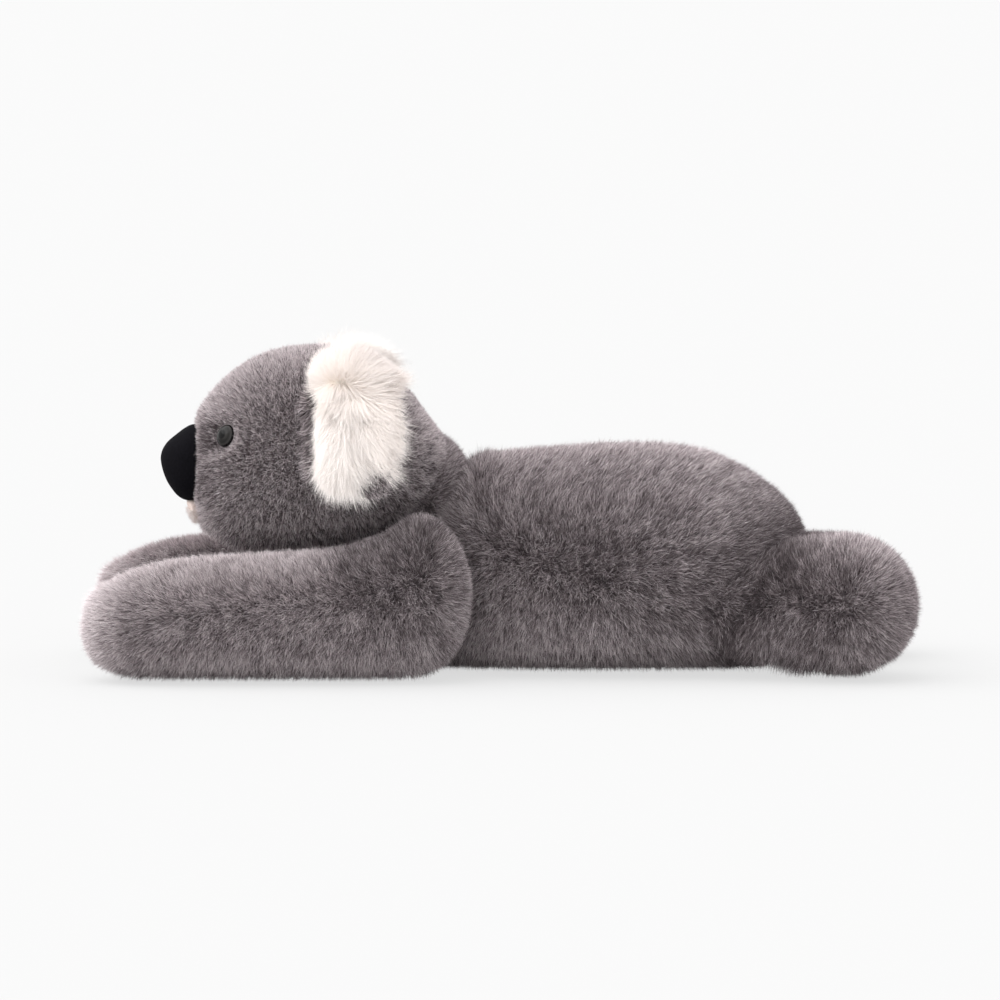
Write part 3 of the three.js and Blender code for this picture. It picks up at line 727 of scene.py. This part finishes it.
def eye_dome(side):
    """A low glossy dome with its rings of colour in the map: u from middle to rim, v around."""
    name, node = f"eye_{side}_dome", f"eye_{side}"
    low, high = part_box(node)
    radius = (high[2] - low[2]) / 2
    middle = middle_of(node)
    axis = (middle - middle_of(f"{node}_washer")).normalized()
    turn = axis.to_track_quat("Z", "X").to_matrix()
    bm = bmesh.new()
    layer = bm.loops.layers.uv.new(PILE_MAP)
    rings = [eye_ring(bm, radius, step, turn, middle) for step in range(EYE_STEPS + 1)]
    for step in range(EYE_STEPS):
        for k in range(EYE_TURNS):
            places = ((step, k), (step + 1, k), (step + 1, k + 1), (step, k + 1))
            face = bm.faces.new([rings[u][v % EYE_TURNS] for u, v in places])
            face.smooth = True
            for loop, (u, v) in zip(face.loops, places):
                loop[layer].uv = (u / EYE_STEPS, v / EYE_TURNS)
    bm.faces.new(rings[-1][::-1])
    bmesh.ops.remove_doubles(bm, verts=rings[0], dist=EYE_MERGE)
    mesh = bpy.data.meshes.new(name)
    bm.to_mesh(mesh)
    bm.free()
    piece = link(name, mesh)
    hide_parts(node)
    dress(piece, EYE_PLASTIC, "head")
    return middle, radius


def dress_washer(side):
    """The washer's CAD node shows as it is, with its plastic."""
    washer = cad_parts[f"eye_{side}_washer"]
    washer.data.materials.clear()
    washer.data.materials.append(WASHER_PLASTIC)


def face_pad(name, node, material, voxel, relax):
    """The nose or the mouth patch: the CAD form with its edges softened."""
    piece = hull_skin(name, node, 0, voxel=voxel, relax=relax)
    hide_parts(node)
    return dress(piece, material, "head")


eyes = [eye_dome(side_name) for side_name in SIDES]
for side_name in SIDES:
    dress_washer(side_name)
nose = face_pad("nose_pad", "nose", BLACK_VELOUR, voxel=1.2 * MM, relax=8)
mouth = face_pad("mouth_pad", "mouth_patch", CREAM_VELOUR, voxel=1 * MM, relax=4)
face_forms = [form_of(nose), form_of(mouth)]

# growing a coat

BURIED = 4.5 * MM  # strands this deep inside a neighbour are left out
UNDERSIDE = -0.75  # where the surface faces down more than this, few strands are left
UNDERSIDE_KEPT = 0.4
SHORTEST = 0.05  # shorter strands are left out, as a share
EVERYWHERE = {"": lambda points: np.ones(len(points), bool)}
HALVES = {"_left": lambda points: points[:, 0] >= 0, "_right": lambda points: points[:, 0] < 0}


def reach_of(lengths):
    """A strand's length as a share, which is 1 apart from longer and shorter places."""
    return lambda points, normals: 1 + shade_at(points, lengths)


def furred(name, skin, body, flow, look, seed, neighbours=(), parts=EVERYWHERE,
           material=GREY_FUR, reach=reach_of(()), tones=()):
    """Fur all over a skin, but for the roots that lie inside the neighbours."""
    rng = np.random.default_rng(seed)
    roots, normals = sample(skin, look.density, rng)
    kept = (normals[:, 2] > UNDERSIDE) | (rng.uniform(size=len(roots)) < UNDERSIDE_KEPT)
    scale = reach(roots, normals)
    kept &= scale > SHORTEST
    roots, normals, scale = roots[kept], normals[kept], scale[kept]
    for form in neighbours:
        free = depth_in(roots, form) < BURIED
        roots, normals, scale = roots[free], normals[free], scale[free]
    for suffix, chosen in parts.items():
        here = chosen(roots)
        combed = flow(roots[here], normals[here])
        shade = shade_at(roots[here], tones)
        piece = grow(name + suffix, roots[here], normals[here], combed, look, rng,
                     scale[here], shade)
        dress(piece, material, body)


# Longer and shorter pile: a path in the photo, its reach in pixels and what it adds as a share.
# It fills the corners at nape, shoulder, chin, paw and foot, and is shorter at the head's rear.
HEAD_LENGTHS = (
    (((425, 405), (458, 448)), 20, -0.55),
    (((200, 528), (207, 542)), 13, 0.9),
)
BODY_LENGTHS = (
    (((466, 455), (476, 453)), 20, 1.2),
    (((422, 502), (440, 515)), 26, 0.6),
)
LEG_LENGTHS = (
    (((735, 662), (800, 668)), 16, 1.0),
)
ARM_LENGTHS = (
    (((91, 592), (100, 578)), 22, 0.9),
)

# Darker and paler places of the coat, most of them painted light and shade: a path in the photo,
# its reach in pixels and its shade.
BODY_PAINTED_LIGHT_AND_SEAM = (
    # painted shade in the crease in front of the leg
    (((800, 530), (780, 555), (760, 580), (750, 600), (742, 615)), 85, -0.46),
    # painted shade where that crease runs down to the floor
    (((742, 615), (722, 650)), 30, -0.2),
    # painted shade on the middle of the flank
    (((600, 560), (660, 580)), 90, -0.1),
    # painted light on the top of the back
    (((500, 452), (620, 443), (700, 450)), 40, 0.25),
    # a darker line along the seam
    (((598, 528), (598, 582)), 5, -0.16),
    # painted light low on the flank, from the floor below
    (((480, 648), (700, 652)), 44, 0.14),
    # painted light in the hollow between head, shoulder and body
    (((418, 500), (440, 512)), 26, 0.3),
)
LEG_PAINTED_LIGHT = (
    # painted shade in the crease in front of the leg
    (((800, 530), (780, 555), (760, 580), (750, 600), (740, 620), (722, 650)), 42, -0.4),
    # painted shade on the side of the leg
    (((800, 575), (830, 620), (800, 650)), 50, -0.15),
    # painted light on the top of the leg
    (((820, 535), (850, 535), (880, 548)), 40, 0.2),
)
ARM_PAINTED_LIGHT = (
    # painted light on the end of the paw
    (((84, 590), (82, 645)), 56, 0.64),
    # painted light on the inner top of the arm, under the head
    (((110, 568), (160, 548), (230, 545)), 26, 0.3),
    # painted light on the top of the arm
    (((105, 580), (200, 560), (300, 560)), 62, 0.42),
    # painted light low on the arm, from the floor below
    (((120, 665), (300, 670), (420, 665)), 30, 0.16),
    # painted shade under the head
    (((350, 560), (400, 545), (440, 540)), 54, -0.16),
    # painted shade at the rear of the arm, next to the body
    (((440, 580), (400, 600), (350, 600)), 44, -0.06),
    # painted light along the middle of the arm
    (((190, 625), (340, 620)), 60, 0.16),
)
FACE_PAINTED_LIGHT_AND_TONES = (
    # darker just in front of the ear
    (((306, 395), (309, 470)), 20, -0.26),
    # painted shadow under the ear
    (((345, 500), (405, 505)), 20, -0.3),
    # painted shade in the socket in front of the eye
    (((213, 422), (208, 434), (211, 446)), 12, -0.75),
    # a paler rim behind and below the eye
    (((238, 424), (240, 440), (231, 454), (216, 456)), 6, 0.45),
    # darker just behind the nose
    (((205, 460), (205, 500)), 16, -0.12),
    # the pale fur under the mouth patch
    (((192, 504), (200, 514), (206, 530), (213, 552)), 18, 0.9),
    # painted light on the brow and crown
    (((196, 405), (215, 384), (250, 356), (300, 346), (340, 346)), 64, 0.6),
    # painted light on the back of the head
    (((430, 420), (445, 445)), 46, 0.55),
)

# coats of the head, body and limbs

BODY_PILE = pile(length=6.2 * MM, spread=0.37)
NECK_PILE = pile()
ARM_PILE = pile()
LEG_PILE = pile(length=5.8 * MM)
HEAD_PILE = pile(density=5.2, length=4.2 * MM, width=0.4 * MM, lean=30, stray=38, least=0.2,
                 curl=1.3, clump=1.3 * MM, shade=0.54, spread=0.6, patchy=0.3)
CHIN_PILE = pile(density=7, length=2.4 * MM, width=0.26 * MM, lean=50, stray=28, shade=0.0,
                 spread=0.1)
LIMB_COATS = {
    "arm": (arm_flow, ARM_PILE, ARM_LENGTHS, ARM_PAINTED_LIGHT),
    "leg": (leg_flow, LEG_PILE, LEG_LENGTHS, LEG_PAINTED_LIGHT),
}
BODY_SEED = 1
HEAD_SEED = 2
NECK_SEED = 3
CHIN_SEED = 4
LIMB_SEEDS = {"left": 8, "right": 9}

CHIN_BARE = 87 * MM  # the pale patch is bare over this height
EYE_CLEAR = 1.15  # bare round the eye, in eye radii
EYE_RAMP = 0.4  # the length grows from this far inside the bare ring, so no strand is too short
EYE_SHORT = 2.1  # short up to here
NOSE_CLEAR = 0.5 * MM  # bare round the nose
NOSE_SHORT = 7 * MM  # short up to here
NOSE_SHARE = 0.55  # next to the nose


def head_reach(points, normals):
    """Strand length on the head as a share: none on the eyes, short around them and the nose."""
    share = 1 + shade_at(points, HEAD_LENGTHS)
    for middle, radius in eyes:
        gap = np.linalg.norm(points - np.array(middle), axis=1) / radius
        share *= smoothstep(EYE_CLEAR - EYE_RAMP, EYE_SHORT, gap) * (gap > EYE_CLEAR)
    for form in face_forms:
        gap = -depth_in(points, form, NOSE_SHORT)
        grown = smoothstep(NOSE_CLEAR, NOSE_SHORT, gap)
        share *= (NOSE_SHARE + (1 - NOSE_SHARE) * grown) * (gap > NOSE_CLEAR)
    return share


def chin_reach(points, normals):
    """Pile on the lower part of the patch alone."""
    return (points[:, 2] < CHIN_BARE).astype(float)


limb_forms = [form_of(skin) for skin in limb_skins.values()]
furred("body_fur", body_skin, "body", body_flow, BODY_PILE, BODY_SEED,
       [head_form, *limb_forms], HALVES, reach=reach_of(BODY_LENGTHS), tones=BODY_PAINTED_LIGHT_AND_SEAM)
furred("head_fur", head_skin, "head", head_flow, HEAD_PILE, HEAD_SEED,
       [body_form], HALVES, reach=head_reach, tones=FACE_PAINTED_LIGHT_AND_TONES)
furred("chin_fur", mouth, "head", head_flow, CHIN_PILE, CHIN_SEED,
       material=WHITE_FUR, reach=chin_reach)
furred("neck_fur", neck_skin, "neck", body_flow, NECK_PILE, NECK_SEED,
       [head_form, body_form])
for limb_body, limb_skin in limb_skins.items():
    limb, side_name = limb_body.split("_")
    flow, look, lengths, tones = LIMB_COATS[limb]
    furred(f"{limb_body}_fur", limb_skin, limb_body, flow, look, LIMB_SEEDS[side_name],
           [body_form], reach=reach_of(lengths), tones=tones)

# flow on the ears, between columns and rows of the photo

EAR_SEAM = Vector((60, -100, 137)) * MM  # where the left ear is sewn to the head
EAR_BACK = Vector((0.7, 1, 0))  # its own way back
EAR_UP = Vector((-0.3, 0, 1))  # and up, along the seam
EAR_CREASE_PX = ((300, 400), (314, 395), (328, 382), (344, 381), (357, 388), (370, 404))
EAR_CREASE_TURN_PX = (-6, 8)  # between these rows over and under the crease the flow turns
EAR_TONGUE_REAR_PX = (362, 376)  # the front lobe under the crease ends between these columns
EAR_TONGUE_MIDDLE_PX = 336
EAR_SPLAY_PX = 34  # at this distance from its middle the front lobe's pile lies at 45 degrees
EAR_FRINGE_PX = (445, 480)  # between these rows it comes to lie twice as far over
EAR_FAN_PX = (331, 402)  # the pile of the upper lobe fans out from here
EAR_DRIFT = 0.4  # and leans that much more to either side
EAR_REAR_PX = (385, 425)  # between these rows the rear lobe starts
EAR_REAR_WAY = (0.95, 0.4)  # its pile lies this far rearward and down
EAR_DROOP_WAY = (-0.2, 0.3)  # which changes by this much
EAR_DROOP_PX = (400, 465)  # between these rows


def ear_flow(points, normals):
    """Down on the front lobe, fanning out on the upper one, and down to the rear on the last."""
    x, y = seen_at(folded(points))
    crease = np.interp(x, *zip(*EAR_CREASE_PX))
    rear = smoothstep(*EAR_TONGUE_REAR_PX, x)
    tongue = (smoothstep(*EAR_CREASE_TURN_PX, y - crease) * (1 - rear))[:, None]
    lower = (smoothstep(*EAR_REAR_PX, y) * rear)[:, None]
    droop = smoothstep(*EAR_DROOP_PX, y)[:, None]
    fan = unit(np.stack([x - EAR_FAN_PX[0], y - EAR_FAN_PX[1]], 1))
    fan[:, 0] += EAR_DRIFT * ((x - EAR_FAN_PX[0]) / EAR_SPLAY_PX).clip(-1, 1)
    splay = (x - EAR_TONGUE_MIDDLE_PX) / EAR_SPLAY_PX * (1 + smoothstep(*EAR_FRINGE_PX, y))
    down = np.stack([splay, np.ones(len(x))], 1)
    across = np.array(EAR_REAR_WAY) + np.array(EAR_DROOP_WAY) * droop
    way = fan * (1 - tongue - lower).clip(0, 1) + down * tongue + across * lower
    back = np.array(EAR_BACK.normalized()) * way[:, :1]
    up = np.array(EAR_UP.normalized()) * -way[:, 1:]
    combed = back + up
    combed[:, :1] *= np.sign(points[:, :1])
    return combed


# ears

EAR_WHITE = pile(density=9.5, length=14.5 * MM, width=0.21 * MM, lean=66, bend=14, stray=10,
                 least=0.7, most=1.2, roll=12, rows=2, clump=7 * MM, curl=0.07, shade=0.6,
                 spread=0.08, patchy=0.04)
EAR_WISPS = pile(density=0.7, length=15 * MM, width=0.17 * MM, lean=60, bend=20, stray=18,
                 roll=20, rows=3, shade=0.6, spread=0.08, patchy=0.04)
EAR_GREY = pile(density=3, length=6 * MM, width=0.5 * MM, lean=50)
EAR_GREY_SEED = 21
EAR_WHITE_SEED = 22
# Lengths and tones are paths in the photo, as for the other coats. The tones are painted light and
# shade.
EAR_LENGTHS = (
    (((404, 388), (409, 420), (407, 462)), 26, 0.75),
    (((372, 350), (398, 374)), 28, -0.45),
    (((320, 470), (345, 480)), 26, 0.15),
    (((362, 474), (372, 466)), 24, 0.5),
    (((321, 462), (328, 478)), 14, 0.3),
)
FAR_EAR_LENGTHS = (
    (((306, 352), (350, 340), (392, 358)), 44, 0.9),
)
EAR_PAINTED_LIGHT = (
    # painted shade at the top of the ear, against the strong light from above
    (((325, 348), (360, 350), (394, 374)), 50, -0.45),
    # painted light on the lower part of the ear
    (((338, 430), (345, 470)), 36, 0.45),
)
# painted light on the far ear, whose side toward the camera lies in shade
FAR_EAR_PAINTED_LIGHT = 0.5
EAR_RIM = (0.35, 0.95)  # between these turns of the surface to the front lies the rim
EAR_RIM_CUT = 0.5  # what the pile there lacks in length, as a share
EAR_BEHIND = 0.7  # length of the white pile on the ear's back, as a share
EAR_TURNED_AWAY = (-0.7, -0.2)  # between these turns of the surface the back starts
EAR_BARE = -6 * MM  # no pile further in than this, from the seam outward

EAR_VOXEL = 2 * MM
EAR_RELAX = 6
EAR_DEPTH = 1 * MM
# How far the pads reach back, the grey pad up and the white pad up, as shares of the CAD forms.
# The far ear stands lower.
EAR_PAD_SHARES = {"left": (0.78, 0.6, 0.74), "right": (0.64, 0.42, 0.57)}
EAR_GREY_REAR = 0.1  # how much further back the grey pad reaches
EAR_GREY_LOWER_SHARES = (0.97, 0.55)  # up and out, under the crease
EAR_WHITE_OUT_SHARE = 0.7  # over the crease
EAR_WHITE_LOWER_SHARES = (0.8, 0.47)  # up and out, under the crease
EAR_CREASE_UP = 7 * MM  # above the seam


def ear_skin(name, node, side, upper, lower):
    """The ear's pad: the CAD form drawn in toward its seam, as shares of way back, up and out.

    Under the crease the lower shares are taken.
    """
    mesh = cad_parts[node].data.copy()
    mesh.name = name
    mirror = Matrix.Diagonal((side, 1, 1))
    seam, back, up = (mirror @ way for way in (EAR_SEAM, EAR_BACK, EAR_UP))
    basis = Matrix((back, up, back.cross(up).normalized())).transposed()
    for vertex in mesh.vertices:
        ways = basis.inverted() @ (vertex.co - seam)
        shares = upper if ways.y > EAR_CREASE_UP else lower
        vertex.co = seam + basis @ Vector([way * share for way, share in zip(ways, shares)])
    return skin_of(name, mesh, EAR_DEPTH, EAR_VOXEL, EAR_RELAX)


def ear_pad(name, node, body, material, side, upper, lower):
    """One of an ear's two pads, with its backing."""
    piece = ear_skin(name, node, side, upper, lower)
    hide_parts(node)
    return dress(piece, material, body)


def ear_reach(points, normals):
    """Long pile on the outer face, shorter at the front rim and behind, none next to the seam."""
    out = np.abs(points[:, 0]) - EAR_SEAM.x
    faced = normals[:, 0] * np.sign(points[:, 0])
    ahead = smoothstep(*EAR_RIM, -normals[:, 1])
    length = 1 - EAR_RIM_CUT * ahead + shade_at(points, EAR_LENGTHS)
    length += shade_at(points, FAR_EAR_LENGTHS) * (points[:, 0] < 0)
    length *= EAR_BEHIND + (1 - EAR_BEHIND) * smoothstep(*EAR_TURNED_AWAY, faced)
    return np.where(out > EAR_BARE, length, 0.0)


def ear_look(look, side):
    """The same pile, paler on the far ear: painted light on its shaded side."""
    shade = look.shade + (FAR_EAR_PAINTED_LIGHT if side < 0 else 0)
    return SimpleNamespace(**{**vars(look), "shade": shade})


def add_ear(side_name, side):
    """The grey back and the white front of an ear, each a pad with its pile."""
    body = f"ear_{side_name}"
    rear, grey_up, white_up = EAR_PAD_SHARES[side_name]
    grey_rear = rear + EAR_GREY_REAR
    upper, lower = (grey_rear, grey_up, 1), (grey_rear, *EAR_GREY_LOWER_SHARES)
    back = ear_pad(f"{body}_grey", f"{body}_back", body, GREY_BACKING, side,
                   upper, lower)
    furred(f"{body}_back_fur", back, body, ear_flow, EAR_GREY, EAR_GREY_SEED, [head_form])
    upper, lower = (rear, white_up, EAR_WHITE_OUT_SHARE), (rear, *EAR_WHITE_LOWER_SHARES)
    front = ear_pad(f"{body}_white", f"{body}_front", body, WHITE_BACKING, side,
                    upper, lower)
    for coat, look in (("front", EAR_WHITE), ("wisps", EAR_WISPS)):
        furred(f"{body}_{coat}_fur", front, body, ear_flow, ear_look(look, side),
               EAR_WHITE_SEED, [head_form], material=WHITE_FUR, reach=ear_reach, tones=EAR_PAINTED_LIGHT)


for side_name, side in SIDES.items():
    add_ear(side_name, side)

# stage

FLOOR_HALF = 60.0
FLOOR_WHITE = 0.955  # as the camera sees it
FLOOR_COLOUR = 0.49  # which the lamps bring up to that white
FLOOR_BOUNCE = 0.6  # its colour for the light that it throws about
SHADOW_LIFT = 0.71  # how much of the floor's white stays in full shadow
SKY_LOW = 0.7
SKY_HIGH = 1.6
# Strength, then spread and tilt in degrees.
LAMPS = {
    "softbox": (2.1, 70, (30, 5, 0)),
    "window": (0.8, 90, (68, 10, 0)),
}


def grey(level):
    """An even grey as red, green and blue."""
    return (level, level, level)


def add_math(tree, operation, first, second):
    """The outcome of an operation on two numbers or sockets."""
    node = tree.nodes.new("ShaderNodeMath")
    node.operation = operation
    for slot, value in enumerate((first, second)):
        if isinstance(value, (int, float)):
            node.inputs[slot].default_value = value
        else:
            tree.links.new(value, node.inputs[slot])
    return node.outputs[0]


def seen_ray(tree):
    """1 for what the camera sees, also in a mirror or through glass, and 0 for other light."""
    path = tree.nodes.new("ShaderNodeLightPath")
    first = add_math(tree, "MAXIMUM", path.outputs["Is Camera Ray"], path.outputs["Is Glossy Ray"])
    return add_math(tree, "MAXIMUM", first, path.outputs["Is Transmission Ray"])


def backdrop_material():
    """Plain white with a light shadow for the camera, and greyer for the light that it throws."""
    material, tree, surface = new_material("floor")
    tree.nodes.remove(surface)
    seen = seen_ray(tree)
    matt = tree.nodes.new("ShaderNodeBsdfDiffuse")
    tone = tree.nodes.new("ShaderNodeMix")
    tone.data_type = "RGBA"
    tone.inputs[MIX_A].default_value = (*grey(FLOOR_BOUNCE), 1)
    tone.inputs[MIX_B].default_value = (*grey(FLOOR_COLOUR), 1)
    lit = tree.nodes.new("ShaderNodeEmission")
    lit.inputs["Color"].default_value = (*grey(FLOOR_WHITE), 1)
    both = tree.nodes.new("ShaderNodeMixShader")
    tree.links.new(seen, tone.inputs["Factor"])
    tree.links.new(tone.outputs[MIX_RESULT], matt.inputs["Color"])
    tree.links.new(add_math(tree, "MULTIPLY", seen, SHADOW_LIFT), both.inputs["Fac"])
    tree.links.new(matt.outputs[0], both.inputs[1])
    tree.links.new(lit.outputs[0], both.inputs[2])
    tree.links.new(both.outputs[0], tree.nodes["Material Output"].inputs["Surface"])
    return material


def add_floor():
    """A plain floor that reaches past what the camera sees."""
    corners = [(-1, -1), (1, -1), (1, 1), (-1, 1)]
    mesh = bpy.data.meshes.new("floor")
    mesh.from_pydata([(x * FLOOR_HALF, y * FLOOR_HALF, 0) for x, y in corners], [], [(0, 1, 2, 3)])
    mesh.materials.append(backdrop_material())
    link("floor", mesh)


def add_world():
    """Soft studio light that grows toward the ceiling, and plain white where it is seen."""
    world = bpy.data.worlds.new("studio")
    world.use_nodes = True
    tree = world.node_tree
    where = tree.nodes.new("ShaderNodeTexCoord")
    split = tree.nodes.new("ShaderNodeSeparateXYZ")
    tree.links.new(where.outputs["Generated"], split.inputs["Vector"])
    seen = tree.nodes.new("ShaderNodeMix")
    seen.data_type = "RGBA"
    seen.inputs[MIX_B].default_value = (*grey(FLOOR_WHITE), 1)
    sky = ramp(tree, [(0.0, grey(SKY_LOW)), (1.0, grey(SKY_HIGH))], split.outputs["Z"])
    tree.links.new(sky, seen.inputs[MIX_A])
    tree.links.new(seen_ray(tree), seen.inputs["Factor"])
    tree.links.new(seen.outputs[MIX_RESULT], tree.nodes["Background"].inputs["Color"])
    bpy.context.scene.world = world


def add_sun(name, strength, spread, tilt):
    """A lamp whose light comes evenly from a wide patch of sky."""
    lamp = bpy.data.lights.new(name, "SUN")
    lamp.energy = strength
    lamp.angle = math.radians(spread)
    sun = bpy.data.objects.new(name, lamp)
    sun.rotation_euler = [math.radians(turn) for turn in tilt]
    bpy.context.scene.collection.objects.link(sun)


def add_camera():
    """The camera that the photo was read as."""
    data = bpy.data.cameras.new("camera")
    data.lens = LENS_MM
    data.sensor_width = SENSOR_MM
    data.clip_end = CAMERA_CLIP_END
    camera = bpy.data.objects.new("camera", data)
    camera.location = CAMERA_AT
    camera.rotation_euler = (-CAMERA_BACK).to_track_quat("-Z", "Y").to_euler()
    bpy.context.scene.collection.objects.link(camera)
    bpy.context.scene.camera = camera


add_floor()
add_world()
for lamp_name, values in LAMPS.items():
    add_sun(lamp_name, *values)
add_camera()
bpy.context.scene.view_settings.view_transform = "Standard"
